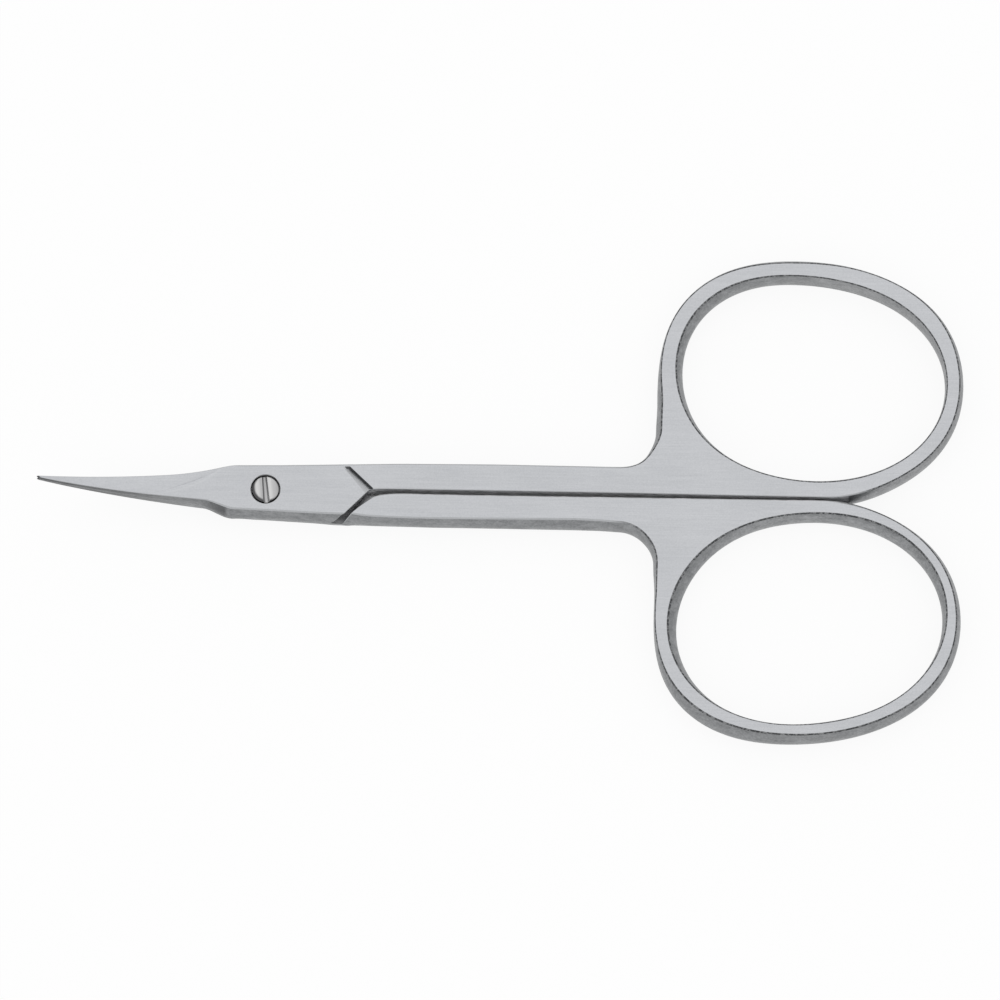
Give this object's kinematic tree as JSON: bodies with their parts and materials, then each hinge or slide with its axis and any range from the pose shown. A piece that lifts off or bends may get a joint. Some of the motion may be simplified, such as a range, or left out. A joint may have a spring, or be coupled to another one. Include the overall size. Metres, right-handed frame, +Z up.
{
  "type": "cuticle scissors",
  "caption": "Small all-metal cuticle scissors: slender blades that curve out of the plane, a slotted screw joint, straight shanks and oval finger rings.",
  "frame": {"origin": "on the pivot screw's axis, in the flat rear plane that the closed scissors rest on", "axes": "+X along the scissors from the blade tips towards the finger rings, +Y across them towards the ring of the half that lies uppermost at the joint, +Z up out of the face that holds the screw's head, the way the blade tips curve"},
  "size_m": [0.0899, 0.0488, 0.0054],
  "materials": {
    "satin_steel": "satin ground faces with faint lengthwise grain, tumbled side walls",
    "screw_steel": "turned and lightly brushed"
  },
  "bodies": {
    "lower_arm": {"lower_half": "satin_steel", "pivot_screw": "screw_steel"},
    "upper_arm": {"upper_half": "satin_steel"}
  },
  "joints": [
    {"name": "screw_pivot", "type": "hinge", "parent": "lower_arm", "child": "upper_arm", "pos_m": [0, 0, 0], "axis": [0, 0, 1], "range_deg": [0, 138]}
  ]
}
